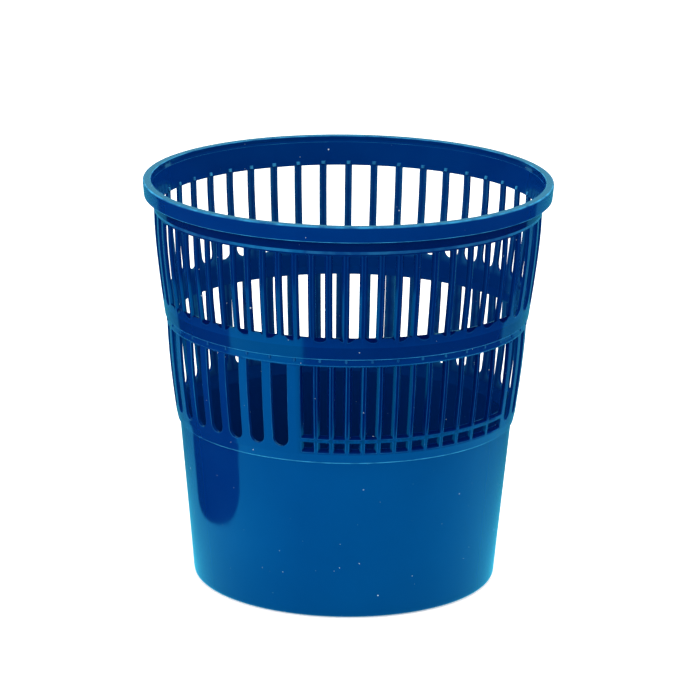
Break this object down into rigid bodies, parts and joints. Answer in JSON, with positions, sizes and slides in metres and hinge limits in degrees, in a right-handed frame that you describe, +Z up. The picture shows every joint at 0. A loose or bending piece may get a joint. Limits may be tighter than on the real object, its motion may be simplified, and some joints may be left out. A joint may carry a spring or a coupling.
{
  "type": "wastebasket",
  "caption": "Round open-topped office wastebasket with a rolled rim, two zones of upright slots around the wall, and a solid tapered bowl on a flat base.",
  "frame": {"origin": "centre of the face that the basket stands on", "axes": "+Z up through the open mouth; the front, with the closely slotted panels, looks along -Y; +X is to the right seen from the front"},
  "size_m": [0.3, 0.3, 0.3],
  "materials": {
    "plastic": "glossy injection-moulded polypropylene, dark blue"
  },
  "bodies": {
    "root": {"rim_flange": "plastic", "rim_skirt": "plastic", "collar": "plastic", "upper_grille_front": "plastic", "upper_grille_right": "plastic", "upper_grille_back": "plastic", "upper_grille_left": "plastic", "middle_band": "plastic", "ledge_band": "plastic", "lower_grille_front": "plastic", "lower_grille_right": "plastic", "lower_grille_back": "plastic", "lower_grille_left": "plastic", "shoulder": "plastic", "bowl": "plastic", "base_corner": "plastic", "base_floor": "plastic"}
  },
  "joints": []
}
